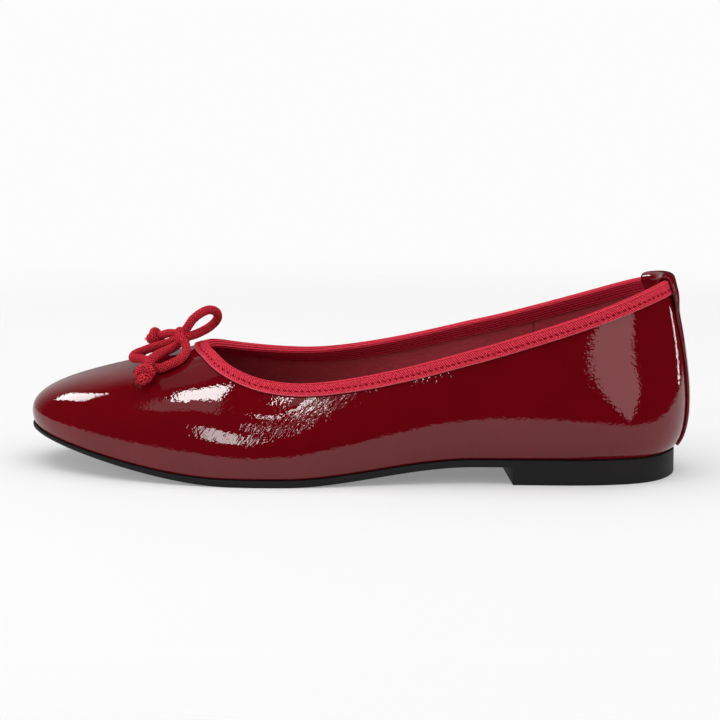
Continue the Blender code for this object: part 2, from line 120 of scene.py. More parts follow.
# Soft troughs where the vamp flexes: the middle, the lean from level, half the size, the depth
Ripple = namedtuple("Ripple", "x z lean half_length half_width depth")
RIPPLES = [
    Ripple(-0.1225, 0.0300, 6.0, 0.0110, 0.0016, 0.00009),
    Ripple(-0.1040, 0.0288, 33.0, 0.0100, 0.0014, 0.00012),
    Ripple(-0.0945, 0.0325, 28.0, 0.0090, 0.0012, 0.00009),
    Ripple(-0.1130, 0.0212, 24.0, 0.0110, 0.0018, 0.00009),
    Ripple(-0.1620, 0.0300, -12.0, 0.0080, 0.0020, 0.00008),
]

# The bow's cord, by the middle of its round section
NEAR_LOOP = [
    (-0.1536, 0.0009, 0.0482), (-0.1552, 0.0007, 0.0475), (-0.1570, 0.0005, 0.0468),
    (-0.1593, 0.0002, 0.0459), (-0.1612, -0.0002, 0.0454), (-0.1632, -0.0008, 0.0449),
    (-0.1655, -0.0016, 0.0443), (-0.1675, -0.0025, 0.0436), (-0.1692, -0.0036, 0.0431),
    (-0.1704, -0.0052, 0.0425), (-0.1705, -0.0070, 0.0418), (-0.1690, -0.0084, 0.0419),
    (-0.1667, -0.0096, 0.0420), (-0.1647, -0.0115, 0.0415), (-0.1630, -0.0142, 0.0404),
    (-0.1610, -0.0165, 0.0401), (-0.1587, -0.0174, 0.0401), (-0.1565, -0.0168, 0.0409),
    (-0.1545, -0.0159, 0.0417), (-0.1525, -0.0146, 0.0425), (-0.1510, -0.0126, 0.0436),
    (-0.1503, -0.0099, 0.0446), (-0.1503, -0.0077, 0.0459), (-0.1510, -0.0059, 0.0475),
    (-0.1524, -0.0044, 0.0487), (-0.1534, -0.0026, 0.0492), (-0.1537, -0.0010, 0.0492),
]
NEAR_TAIL = [
    (-0.1529, -0.0012, 0.0474), (-0.1545, -0.0034, 0.0461), (-0.1567, -0.0060, 0.0451),
    (-0.1593, -0.0100, 0.0445), (-0.1612, -0.0144, 0.0440), (-0.1625, -0.0175, 0.0431),
]
FAR_LOOP = [
    (-0.1537, 0.0018, 0.0492), (-0.1524, 0.0025, 0.0502), (-0.1513, 0.0030, 0.0516),
    (-0.1501, 0.0034, 0.0534), (-0.1488, 0.0036, 0.0551), (-0.1462, 0.0044, 0.0571),
    (-0.1433, 0.0066, 0.0581), (-0.1410, 0.0098, 0.0569), (-0.1405, 0.0122, 0.0545),
    (-0.1417, 0.0130, 0.0522), (-0.1440, 0.0116, 0.0503), (-0.1462, 0.0086, 0.0494),
    (-0.1479, 0.0054, 0.0490), (-0.1492, 0.0036, 0.0488), (-0.1508, 0.0022, 0.0486),
    (-0.1526, 0.0012, 0.0485),
]
FAR_TAIL = [
    (-0.1530, 0.0018, 0.0494), (-0.1544, 0.0026, 0.0497), (-0.1561, 0.0034, 0.0495),
    (-0.1575, 0.0042, 0.0494), (-0.1589, 0.0053, 0.0491), (-0.1602, 0.0066, 0.0485),
    (-0.1612, 0.0075, 0.0480),
]
BOW_MIDDLE = (-0.1530, 0.0010, 0.0490)
NEAR_KNOT = (-0.1641, -0.0229, 0.0390)
FAR_KNOT = (-0.1643, 0.0094, 0.0469)


# Camera
def add_camera():
    """Stands off the outer side, 11 degrees up and 4 degrees round towards the heel."""
    turn, lift, distance = 4.0, 11.0, 1.298
    data = bpy.data.cameras.new("camera")
    data.sensor_width = 36.0
    data.lens = 172.04
    data.clip_start = 0.05
    camera = bpy.data.objects.new("camera", data)
    camera.location = Vector((-0.0853, 0.0, 0.0408)) + direction(turn, lift) * distance
    camera.rotation_euler = (math.pi / 2.0 - math.radians(lift), 0.0, math.radians(turn))
    bpy.context.scene.collection.objects.link(camera)
    bpy.context.scene.camera = camera


# Surfaces of the shoe
def smooth_step(share):
    """0 to 1, with no slope at either end."""
    share = np.clip(share, 0.0, 1.0)
    return share * share * (3.0 - 2.0 * share)


def sole_bottom(x):
    """Height of the sole's underside: toe spring, flat tread, arch and seat."""
    along = x / LENGTH + HEEL_CENTRE_SHARE
    forward = np.clip(1.0 - along / SPRING_SHARE, 0.0, None)
    soft = SPRING_SOFTNESS
    spring = (np.sqrt(forward**2 + soft**2) - soft) / (math.hypot(1.0, soft) - soft)
    arch = smooth_step((along - ARCH_START_SHARE) / (ARCH_END_SHARE - ARCH_START_SHARE))
    return TOE_SPRING * spring + arch * (HEEL_HEIGHT - SOLE_THICKNESS)


def sole_top(x):
    """Height of the sole's upper face, which thins towards the toe."""
    along = x / LENGTH + HEEL_CENTRE_SHARE
    thin = np.clip(1.0 - along / SPRING_SHARE, 0.0, 1.0)
    return sole_bottom(x) + SOLE_THICKNESS + (TOE_THICKNESS - SOLE_THICKNESS) * thin


def station_sizes(row):
    """A station in metres and radians: its places in plan, rim height, leans and reaches."""
    return [
        (row.sole_along - HEEL_CENTRE_SHARE) * LENGTH,
        row.sole_across * BALL_WIDTH,
        (row.rim_along - HEEL_CENTRE_SHARE) * LENGTH,
        row.rim_across * BALL_WIDTH,
        row.instep * INSTEP_HEIGHT + row.back * BACK_HEIGHT,
        math.radians(row.foot_lean),
        row.foot_reach,
        math.radians(row.rim_lean),
        row.rim_reach,
    ]


def closed_spline(rows):
    """Knots, steps, values and bends of the smooth closed curve through the rows."""
    rows = np.array(rows)
    following = np.roll(rows, -1, axis=0)
    stride = np.linalg.norm((following - rows)[:, 0:2], axis=1)
    stride += np.linalg.norm((following - rows)[:, 2:4], axis=1)
    step = stride / stride.sum()
    knots = np.concatenate([[0.0], np.cumsum(step)[:-1]])
    slope = (following - rows) / step[:, None]
    before = np.roll(step, 1)
    count = len(rows)
    system = np.zeros((count, count))
    for i in range(count):
        system[i, i - 1] += before[i]
        system[i, i] += 2.0 * (before[i] + step[i])
        system[i, (i + 1) % count] += step[i]
    bend = np.linalg.solve(system, 6.0 * (slope - np.roll(slope, 1, axis=0)))
    return knots, step, rows, bend


SPLINE = closed_spline([station_sizes(row) for row in STATIONS])
BACK_PLACE = SPLINE[0][[row.place for row in STATIONS].index("back")]


def round_the_shoe(place):
    """The station sizes at any place round the shoe, 0 to 1."""
    knots, step, rows, bend = SPLINE
    place = np.mod(place, 1.0)
    i = np.clip(np.searchsorted(knots, place, side="right") - 1, 0, len(knots) - 1)
    j = (i + 1) % len(knots)
    h = step[i][..., None]
    t = (place - knots[i])[..., None]
    r = h - t
    bent = (bend[i] * r**3 + bend[j] * t**3) / (6.0 * h)
    return bent + (rows[i] / h - bend[i] * h / 6.0) * r + (rows[j] / h - bend[j] * h / 6.0) * t


def outward(place, first):
    """The way out of the shoe in plan, at the curve whose x is the station size of that number."""
    ahead = round_the_shoe(place + NUDGE)[..., first : first + 2]
    behind = round_the_shoe(place - NUDGE)[..., first : first + 2]
    way = ahead - behind
    way = way / np.linalg.norm(way, axis=-1, keepdims=True)
    return np.stack([way[..., 1], -way[..., 0]], axis=-1)


def sole_line(place, margin=0.0):
    """The upper's lower edge in plan, moved out by a margin."""
    place = np.asarray(place, float)
    return round_the_shoe(place)[..., 0:2] + outward(place, 0) * margin


def upper_face(place, up):
    """The upper's outer face: place goes round the shoe, up from 0 at the sole to 1 at the rim."""
    place, up = np.broadcast_arrays(np.asarray(place, float), np.asarray(up, float))
    size = round_the_shoe(place)
    foot = np.concatenate([size[..., 0:2], (sole_top(size[..., 0]) + FIT)[..., None]], axis=-1)
    rim_height = sole_top(size[..., 2]) + size[..., 4]
    rim = np.concatenate([size[..., 2:4], rim_height[..., None]], axis=-1)
    chord = np.linalg.norm(rim - foot, axis=-1, keepdims=True)
    foot_way = np.concatenate(
        [outward(place, 0) * np.cos(size[..., 5:6]), np.sin(size[..., 5:6])], axis=-1
    )
    rim_way = np.concatenate(
        [outward(place, 2) * np.cos(size[..., 7:8]), -np.sin(size[..., 7:8])], axis=-1
    )
    low = foot + foot_way * chord * size[..., 6:7]
    high = rim + rim_way * chord * size[..., 8:9]
    t = up[..., None]
    s = 1.0 - t
    return s**3 * foot + 3.0 * s * s * t * low + 3.0 * s * t * t * high + t**3 * rim


def upper_normal(place, up):
    """Unit normal of the outer face, pointing out of the shoe."""
    place, up = np.broadcast_arrays(np.asarray(place, float), np.asarray(up, float))
    up = np.clip(up, NUDGE, 1.0 - NUDGE)
    across = upper_face(place + NUDGE, up) - upper_face(place - NUDGE, up)
    upward = upper_face(place, up + NUDGE) - upper_face(place, up - NUDGE)
    normal = np.cross(across, upward)
    return normal / np.linalg.norm(normal, axis=-1, keepdims=True)


def depth_table(places):
    """For each place, the lengths up the wall at even shares, for finding a depth under the rim."""
    ups = np.linspace(0.0, 1.0, WALL_STEPS)
    lines = upper_face(places[:, None], ups[None, :])
    steps = np.linalg.norm(np.diff(lines, axis=1), axis=2)
    return ups, np.concatenate([np.zeros((len(places), 1)), np.cumsum(steps, axis=1)], axis=1)


def wall_section(places, section):
    """Points [row, column] of a section carried round the given places. Its rows are the depth
    under the rim and the distance off the face, and a negative depth goes on past the rim in line
    with the wall."""
    ups, lengths = depth_table(places)
    normal_top = upper_normal(places, 1.0)
    around = upper_face(places + NUDGE, 1.0) - upper_face(places - NUDGE, 1.0)
    around /= np.linalg.norm(around, axis=1, keepdims=True)
    rising = np.cross(normal_top, around)
    made = []
    for depth, off in section:
        depth = np.broadcast_to(np.asarray(depth, float), places.shape)
        off = np.broadcast_to(np.asarray(off, float), places.shape)[:, None]
        under = np.maximum(depth, 0.0)
        up = np.array([np.interp(row[-1] - d, row, ups) for row, d in zip(lengths, under)])
        point = upper_face(places, up) + upper_normal(places, up) * off
        made.append(point - rising * np.minimum(depth, 0.0)[:, None])
    return np.array(made)


# Making pieces
def colour(code):
    """Linear colour of an sRGB hex code."""
    parts = [int(code[i : i + 2], 16) / 255.0 for i in (1, 3, 5)]
    linear = [p / 12.92 if p <= 0.04045 else ((p + 0.055) / 1.055) ** 2.4 for p in parts]
    return (*linear, 1.0)


def moved_grid(points, along=None, across=None):
    """A bmesh grid whose vertices are moved to points [row, column], with a UV map in metres. Edges
    that meet are merged."""
    rows, columns = points.shape[0] - 1, points.shape[1] - 1
    bm = bmesh.new()
    bmesh.ops.create_grid(bm, x_segments=columns, y_segments=rows, size=0.5)
    cell = {v: (round((v.co.y + 0.5) * rows), round((v.co.x + 0.5) * columns)) for v in bm.verts}
    if along is not None:
        metres = bm.loops.layers.uv.new("metres")
        for face in bm.faces:
            for loop in face.loops:
                row, column = cell[loop.vert]
                loop[metres].uv = (along[column], across[row])
    for vertex, (row, column) in cell.items():
        vertex.co = Vector(points[row, column])
    bmesh.ops.remove_doubles(bm, verts=bm.verts, dist=SAME_PLACE)
    return bm


def add_piece(name, bm, finishes, stands_for, sharp=None):
    """Turns a bmesh into a smooth piece that rides on the shoe, creased past an angle if one is
    given in degrees."""
    mesh = bpy.data.meshes.new(name)
    bm.to_mesh(mesh)
    bm.free()
    mesh.shade_smooth()
    if sharp:
        mesh.set_sharp_from_angle(angle=math.radians(sharp))
    for finish in finishes:
        mesh.materials.append(finish)
    piece = bpy.data.objects.new(name, mesh)
    bpy.context.scene.collection.objects.link(piece)
    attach(piece, "root")
    if stands_for:
        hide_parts(*stands_for)
    return piece


def smooth_route(places, step):
    """Points at even distances on the smooth curve through a route's own points."""
    rows = np.array(places)
    padded = np.vstack([2.0 * rows[0] - rows[1], rows, 2.0 * rows[-1] - rows[-2]])
    t = np.linspace(0.0, 1.0, 16, endpoint=False)[:, None]
    fine = []
    for a, b, c, d in zip(padded, padded[1:], padded[2:], padded[3:]):
        bent = (c - a) + t * (2.0 * a - 5.0 * b + 4.0 * c - d) + t * t * (3.0 * (b - c) + d - a)
        fine.append(b + 0.5 * t * bent)
    fine = np.vstack([*fine, rows[-1:]])
    along = np.concatenate([[0.0], np.cumsum(np.linalg.norm(np.diff(fine, axis=0), axis=1))])
    stops = np.linspace(0.0, along[-1], max(3, round(along[-1] / step) + 1))
    return np.stack([np.interp(stops, along, fine[:, axis]) for axis in range(3)], axis=1)


def cord_tube(route, radius):
    """A braided cord round a route: rings that turn as little as they can, their radius following
    the braid's strands, and both ends closed and rounded in."""
    way = np.gradient(route, axis=0)
    way /= np.linalg.norm(way, axis=1, keepdims=True)
    side = np.cross(way[0], (0.3, 0.2, 0.9))
    beside = []
    for here in way:
        side = side - here * (side @ here)
        side /= np.linalg.norm(side)
        beside.append(side)
    beside = np.array(beside)
    above = np.cross(way, beside)
    steps = np.linalg.norm(np.diff(route, axis=0), axis=1)
    along = np.concatenate([[0.0], np.cumsum(steps)])
    turn = np.linspace(0.0, 2.0 * math.pi, CORD_SIDES + 1)
    end_rounding, relief = 0.0008, 0.20
    ends = np.clip(np.minimum(along, along[-1] - along) / end_rounding, 0.0, 1.0)
    thick = radius * np.sqrt(np.clip(1.0 - (1.0 - ends) ** 2, 0.02, 1.0))
    # eight strands lean each way, crossing every STRAND_STEP
    lean = along[None, :] / STRAND_STEP * math.pi
    strand = np.abs(np.sin(4.0 * turn[:, None] + lean))
    strand = np.maximum(strand, np.abs(np.sin(4.0 * turn[:, None] - lean)))
    thick = thick[None, :] * (1.0 + relief * (strand - 0.85))
    ring = np.cos(turn)[:, None, None] * beside[None] + np.sin(turn)[:, None, None] * above[None]
    points = route[None] + ring * thick[..., None]
    points[-1] = points[0]
    bm = moved_grid(points, along, turn * CORD / 2.0)
    bmesh.ops.holes_fill(bm, edges=[edge for edge in bm.edges if edge.is_boundary], sides=0)
    bmesh.ops.recalc_face_normals(bm, faces=bm.faces)
    return bm


def add_node(tree, kind, inputs=None, **settings):
    """Adds a node with its settings, and gives each input its value or its link."""
    made = tree.nodes.new("ShaderNode" + kind)
    for name, value in settings.items():
        setattr(made, name, value)
    for name, value in (inputs or {}).items():
        if isinstance(value, bpy.types.NodeSocket):
            tree.links.new(value, made.inputs[name])
        else:
            made.inputs[name].default_value = value
    return made


def new_finish(name, code, roughness, **sockets):
    """A material whose shader has these constants on its own sockets."""
    made = bpy.data.materials.new(name)
    made.use_nodes = True
    shader = made.node_tree.nodes["Principled BSDF"]
    shader.inputs["Base Color"].default_value = colour(code)
    shader.inputs["Roughness"].default_value = roughness
    for socket, value in sockets.items():
        shader.inputs[socket.replace("_", " ")].default_value = value
    return made, made.node_tree, shader


def crinkled_patent(name):
    """Patent leather: dyed hide under a thick clear lacquer. It gives the eye a nearly black red
    and sharp mirror reflections, gently uneven all over and broken by close slanted creases, about
    1.1 mm apart, where the vamp flexes."""
    made, tree, shader = new_finish(
        name,
        "#69030d",
        0.6,
        Specular_IOR_Level=0.0,
        Coat_Weight=1.0,
        Coat_Roughness=0.025,
        Coat_IOR=1.48,
    )
    place = add_node(tree, "TexCoord").outputs["Object"]
    parts = add_node(tree, "SeparateXYZ", {"Vector": place})
    # swells 4 mm apart and a finer unevenness 1 mm apart, over the whole hide
    wide = add_node(tree, "TexNoise", {"Vector": place, "Scale": 230.0, "Detail": 1.0})
    fine = add_node(tree, "TexNoise", {"Vector": place, "Scale": 900.0, "Detail": 1.0})
    turned = add_node(
        tree, "Mapping", {"Vector": place, "Rotation": (0.0, math.radians(54.0), 0.0)}
    )
    drawn = add_node(
        tree, "Mapping", {"Vector": turned.outputs["Vector"], "Scale": (0.3, 0.3, 1.0)}
    )
    crease = add_node(
        tree,
        "TexNoise",
        {"Vector": drawn.outputs["Vector"], "Scale": 800.0, "Detail": 1.5, "Distortion": 0.5},
    )
    # the creases follow a curve that rises from the ball of the foot to the topline at the waist
    run = add_node(tree, "Math", {0: parts.outputs["X"], 1: 0.127}, operation="ADD")
    run = add_node(tree, "Math", {0: run.outputs[0], 1: 0.0}, operation="MAXIMUM")
    curve = add_node(tree, "Math", {0: run.outputs[0], 1: run.outputs[0]}, operation="MULTIPLY")
    curve = add_node(
        tree, "Math", {0: curve.outputs[0], 1: 9.0, 2: 0.0200}, operation="MULTIPLY_ADD"
    )
    away = add_node(
        tree, "Math", {0: parts.outputs["Z"], 1: curve.outputs[0]}, operation="SUBTRACT"
    )
    away = add_node(tree, "Math", {0: away.outputs[0]}, operation="ABSOLUTE")
    limits = []
    ends = (
        (parts.outputs["X"], -0.170, -0.140),
        (parts.outputs["X"], -0.050, -0.075),
        (away.outputs[0], 0.0050, 0.0020),
        (parts.outputs["Y"], 0.0, -0.02),
    )
    for value, start, end in ends:
        limit = add_node(
            tree,
            "MapRange",
            {"Value": value, "From Min": start, "From Max": end, "To Min": 0.0, "To Max": 1.0},
            interpolation_type="SMOOTHSTEP",
        )
        limits.append(limit.outputs[0])
    flexed = limits[0]
    for limit in limits[1:]:
        flexed = add_node(tree, "Math", {0: flexed, 1: limit}, operation="MULTIPLY").outputs[0]
    # they are shallow at the ball and deep behind it
    depth = add_node(
        tree,
        "MapRange",
        {
            "Value": parts.outputs["X"],
            "From Min": -0.130,
            "From Max": -0.116,
            "To Min": 0.00007,
            "To Max": 0.00040,
        },
        interpolation_type="SMOOTHSTEP",
    )
    deep = add_node(tree, "Math", {0: flexed, 1: depth.outputs[0]}, operation="MULTIPLY")
    low = add_node(
        tree, "Bump", {"Height": wide.outputs["Fac"], "Strength": 1.0, "Distance": 0.00004}
    )
    middle = add_node(
        tree,
        "Bump",
        {
            "Height": fine.outputs["Fac"],
            "Strength": 1.0,
            "Distance": 0.000036,
            "Normal": low.outputs["Normal"],
        },
    )
    both = add_node(
        tree,
        "Bump",
        {
            "Height": crease.outputs["Fac"],
            "Strength": 1.0,
            "Distance": deep.outputs[0],
            "Normal": middle.outputs["Normal"],
        },
    )
    tree.links.new(both.outputs["Normal"], shader.inputs["Coat Normal"])
    tree.links.new(both.outputs["Normal"], shader.inputs["Normal"])
    # the dye is a little uneven
    shade = add_node(tree, "TexNoise", {"Vector": place, "Scale": 60.0, "Detail": 3.0})
    mixed = add_node(
        tree,
        "Mix",
        {0: shade.outputs["Fac"], 6: colour("#5a030c"), 7: colour("#67040d")},
        data_type="RGBA",
    )
    tree.links.new(mixed.outputs[2], shader.inputs["Base Color"])
    return made


def ribbed_tape(name):
    """Cotton tape, soft and matt: slanted ribs 0.8 mm apart, with painted shade between them and
    painted highlights on their tops, lengthwise cords along its fold and a paler woven edge."""
    made, tree, shader = new_finish(name, "#d63a48", 0.9, Specular_IOR_Level=0.0)
    uv = add_node(tree, "UVMap", uv_map="metres").outputs["UV"]
    parts = add_node(tree, "SeparateXYZ", {"Vector": uv})
    across = parts.outputs["Y"]
    rib_spacing, rib_spacing_across, fold_cord_spacing = 0.0008, 0.0011, 0.00095
    slant = add_node(
        tree, "Math", {0: across, 1: 2.0 * math.pi / rib_spacing_across}, operation="MULTIPLY"
    )
    turn = add_node(
        tree,
        "Math",
        {0: parts.outputs["X"], 1: 2.0 * math.pi / rib_spacing, 2: slant.outputs[0]},
        operation="MULTIPLY_ADD",
    )
    ribs = add_node(tree, "Math", {0: turn.outputs[0]}, operation="SINE")
    row_turn = add_node(
        tree, "Math", {0: across, 1: 2.0 * math.pi / fold_cord_spacing}, operation="MULTIPLY"
    )
    cords = add_node(tree, "Math", {0: row_turn.outputs[0]}, operation="COSINE")
    # 1 along the fold, 0 on the legs
    fold = add_node(
        tree,
        "MapRange",
        {"Value": across, "From Min": 0.0044, "From Max": 0.0058, "To Min": 0.0, "To Max": 1.0},
        interpolation_type="SMOOTHSTEP",
    )
    fold_height = add_node(
        tree, "Math", {0: ribs.outputs[0], 1: 0.7, 2: cords.outputs[0]}, operation="MULTIPLY_ADD"
    )
    height = add_node(
        tree,
        "Mix",
        {0: fold.outputs[0], 2: ribs.outputs[0], 3: fold_height.outputs[0]},
        data_type="FLOAT",
    )
    fuzz = add_node(tree, "TexNoise", {"Vector": uv, "Scale": 1500.0, "Detail": 2.0})
    rough_height = add_node(
        tree,
        "Math",
        {0: fuzz.outputs["Fac"], 1: 4.0, 2: height.outputs[0]},
        operation="MULTIPLY_ADD",
    )
    bump = add_node(
        tree, "Bump", {"Height": rough_height.outputs[0], "Strength": 1.0, "Distance": 0.00008}
    )
    tree.links.new(bump.outputs["Normal"], shader.inputs["Normal"])
    # the tape's red, with painted shade in the grooves and painted highlights on the ribs' tops
    level = add_node(
        tree,
        "MapRange",
        {
            "Value": rough_height.outputs[0],
            "From Min": 0.9,
            "From Max": 3.1,
            "To Min": 0.0,
            "To Max": 1.0,
        },
    )
    dyed = add_node(
        tree,
        "Mix",
        {0: level.outputs[0], 6: colour("#840c22"), 7: colour("#f04658")},
        data_type="RGBA",
    )
    # the leg inside the shoe is painted darker: painted shade where it sits inside the shoe
    inside = add_node(
        tree,
        "MapRange",
        {"Value": across, "From Min": 0.0090, "From Max": 0.0104, "To Min": 0.0, "To Max": 0.5},
        interpolation_type="SMOOTHSTEP",
    )
    dyed = add_node(
        tree,
        "Mix",
        {0: inside.outputs[0], 6: dyed.outputs[2], 7: colour("#7a0a1c")},
        data_type="RGBA",
    )
    # the paler woven edge
    edge = add_node(
        tree,
        "MapRange",
        {"Value": across, "From Min": 0.0006, "From Max": 0.0010, "To Min": 0.6, "To Max": 0.0},
        interpolation_type="SMOOTHSTEP",
    )
    mixed = add_node(
        tree,
        "Mix",
        {0: edge.outputs[0], 6: dyed.outputs[2], 7: colour("#e86a76")},
        data_type="RGBA",
    )
    tree.links.new(mixed.outputs[2], shader.inputs["Base Color"])
    return made


def braided_cord(name):
    """Braided cotton cord: strands about 1 mm wide that lean both ways and cross, matt, with
    painted shade between them and painted highlights on the strands and where single yarns stand
    up."""
    made, tree, shader = new_finish(name, "#b42f3a", 0.9, Specular_IOR_Level=0.0)
    uv = add_node(tree, "UVMap", uv_map="metres").outputs["UV"]
    parts = add_node(tree, "SeparateXYZ", {"Vector": uv})
    around = add_node(tree, "Math", {0: parts.outputs["Y"], 1: 8.0 / CORD}, operation="MULTIPLY")
    waves = []
    for sense in (1.0, -1.0):
        lean = add_node(
            tree,
            "Math",
            {0: parts.outputs["X"], 1: sense * math.pi / STRAND_STEP, 2: around.outputs[0]},
            operation="MULTIPLY_ADD",
        )
        wave = add_node(tree, "Math", {0: lean.outputs[0]}, operation="SINE")
        waves.append(add_node(tree, "Math", {0: wave.outputs[0]}, operation="ABSOLUTE"))
    top = add_node(
        tree, "Math", {0: waves[0].outputs[0], 1: waves[1].outputs[0]}, operation="MAXIMUM"
    )
    yarn = add_node(tree, "TexNoise", {"Vector": uv, "Scale": 2400.0, "Detail": 2.0})
    height = add_node(
        tree, "Math", {0: yarn.outputs["Fac"], 1: 1.4, 2: top.outputs[0]}, operation="MULTIPLY_ADD"
    )
    bump = add_node(
        tree, "Bump", {"Height": height.outputs[0], "Strength": 1.0, "Distance": 0.00016}
    )
    tree.links.new(bump.outputs["Normal"], shader.inputs["Normal"])
    # the cord's red, with painted shade in the gaps between strands and painted highlights on the
    # strands' tops and yarn flecks
    level = add_node(
        tree,
        "MapRange",
        {
            "Value": height.outputs[0],
            "From Min": 1.3,
            "From Max": 1.95,
            "To Min": 0.0,
            "To Max": 1.0,
        },
    )
    mixed = add_node(
        tree,
        "Mix",
        {0: level.outputs[0], 6: colour("#5e0614"), 7: colour("#f2404e")},
        data_type="RGBA",
    )
    tree.links.new(mixed.outputs[2], shader.inputs["Base Color"])
    return made


def grained_lining(name, code_low, code_high, seam=None):
    """Pigskin: matt and dark maroon with a fine level grain, 0.7 mm by 3 mm, and a darker seam."""
    made, tree, shader = new_finish(name, code_low, 0.6)
    place = add_node(tree, "TexCoord").outputs["Object"]
    drawn = add_node(tree, "Mapping", {"Vector": place, "Scale": (0.25, 0.25, 1.0)})
    grain = add_node(
        tree, "TexNoise", {"Vector": drawn.outputs["Vector"], "Scale": 1400.0, "Detail": 3.0}
    )
    bump = add_node(
        tree, "Bump", {"Height": grain.outputs["Fac"], "Strength": 0.6, "Distance": 0.00008}
    )
    tree.links.new(bump.outputs["Normal"], shader.inputs["Normal"])
    mixed = add_node(
        tree,
        "Mix",
        {0: grain.outputs["Fac"], 6: colour(code_low), 7: colour(code_high)},
        data_type="RGBA",
    )
    if seam is not None:
        parts = add_node(tree, "SeparateXYZ", {"Vector": place})
        from_seam = add_node(tree, "Math", {0: parts.outputs["X"], 1: seam}, operation="SUBTRACT")
        from_seam = add_node(tree, "Math", {0: from_seam.outputs[0]}, operation="ABSOLUTE")
        shut = add_node(
            tree,
            "MapRange",
            {
                "Value": from_seam.outputs[0],
                "From Min": 0.0001,
                "From Max": 0.0005,
                "To Min": 0.6,
                "To Max": 0.0,
            },
        )
        mixed = add_node(
            tree,
            "Mix",
            {0: shut.outputs[0], 6: mixed.outputs[2], 7: colour("#3a0a10")},
            data_type="RGBA",
        )
    tree.links.new(mixed.outputs[2], shader.inputs["Base Color"])
    return made


def moulded_rubber(name, code, roughness):
    """Moulded rubber with a satin skin: near black, with a fine pebble of about 0.6 mm."""
    made, tree, shader = new_finish(name, code, roughness, Specular_IOR_Level=0.15)
    place = add_node(tree, "TexCoord").outputs["Object"]
    pebble = add_node(tree, "TexNoise", {"Vector": place, "Scale": 1500.0, "Detail": 2.0})
    bump = add_node(
        tree, "Bump", {"Height": pebble.outputs["Fac"], "Strength": 0.5, "Distance": 0.00004}
    )
    tree.links.new(bump.outputs["Normal"], shader.inputs["Normal"])
    wear = add_node(tree, "TexNoise", {"Vector": place, "Scale": 90.0, "Detail": 4.0})
    rough = add_node(
        tree,
        "MapRange",
        {
            "Value": wear.outputs["Fac"],
            "From Min": 0.3,
            "From Max": 0.7,
            "To Min": roughness - 0.07,
            "To Max": roughness + 0.07,
        },
    )
    tree.links.new(rough.outputs[0], shader.inputs["Roughness"])
    return made


# The bow
def knot_route(middle, arriving, size):
    """An overhand knot in a cord: it runs in, doubles back inside and wraps round itself."""
    middle = np.array(middle)
    ahead = middle - np.array(arriving)
    ahead /= np.linalg.norm(ahead)
    over = np.array((0.0, 0.0, 1.0))
    over = over - ahead * (over @ ahead)
    over /= np.linalg.norm(over)
    beside = np.cross(over, ahead)
    # how far ahead, beside and over the knot's middle, in its sizes
    local = [
        (-0.62, 0.0, 0.05), (-0.05, 0.12, 0.05), (0.55, 0.18, 0.0), (0.78, 0.0, -0.16),
        (0.45, -0.2, -0.25), (0.0, -0.22, -0.2), (-0.45, -0.25, -0.1),
    ]
    wraps, start_angle = 1.45, -2.0
    for step in range(15):
        share = step / 14.0
        angle = start_angle + share * wraps * 2.0 * math.pi
        lie = 0.72 * math.sin(math.pi * (0.15 + 0.85 * share)) ** 0.35
        local.append((-0.62 + 1.15 * share, lie * math.cos(angle), lie * math.sin(angle)))
    local += [(0.95, 0.25, -0.45)]
    return [tuple(middle + size * (a * ahead + b * beside + c * over)) for a, b, c in local]


def frayed_end(start, way, length, count, seed):
    """A brush of loose yarns, each a thin three-sided taper."""
    picks = np.random.default_rng(seed)
    way = Vector(way).normalized()
    side = way.cross(Vector((0.2, 0.9, 0.3))).normalized()
    third = way.cross(side)
    bm = bmesh.new()
    brush_radius, splay, sway = 0.0013, 0.0009, 0.0006
    root_radius, tip_radius = 0.00013, 0.00005
    for _ in range(count):
        # the angle round the cord in radians, then shares of the sizes above and of the length
        angle, spread, reach, bend = picks.uniform((0.0, 0.0, 0.7, -0.5), (6.28, 1.0, 1.15, 0.5))
        out = side * math.cos(angle) + third * math.sin(angle)
        root = Vector(start) + out * brush_radius * spread
        tip = root + way * length * reach + out * splay * spread + side * sway * bend
        axis = tip - root
        made = bmesh.ops.create_cone(
            bm,
            cap_ends=True,
            segments=3,
            radius1=root_radius,
            radius2=tip_radius,
            depth=axis.length,
        )
        turned = axis.to_track_quat("Z", "Y").to_matrix().to_4x4()
        turned.translation = (root + tip) / 2.0
        bmesh.ops.transform(bm, matrix=turned, verts=made["verts"])
    return bm


def add_cord(name, route, cord, stands_for, radius):
    """A free part of the bow's cord."""
    route = smooth_route(route, ROUTE_STEP)
    piece = add_piece(name, cord_tube(route, radius), [cord], stands_for)


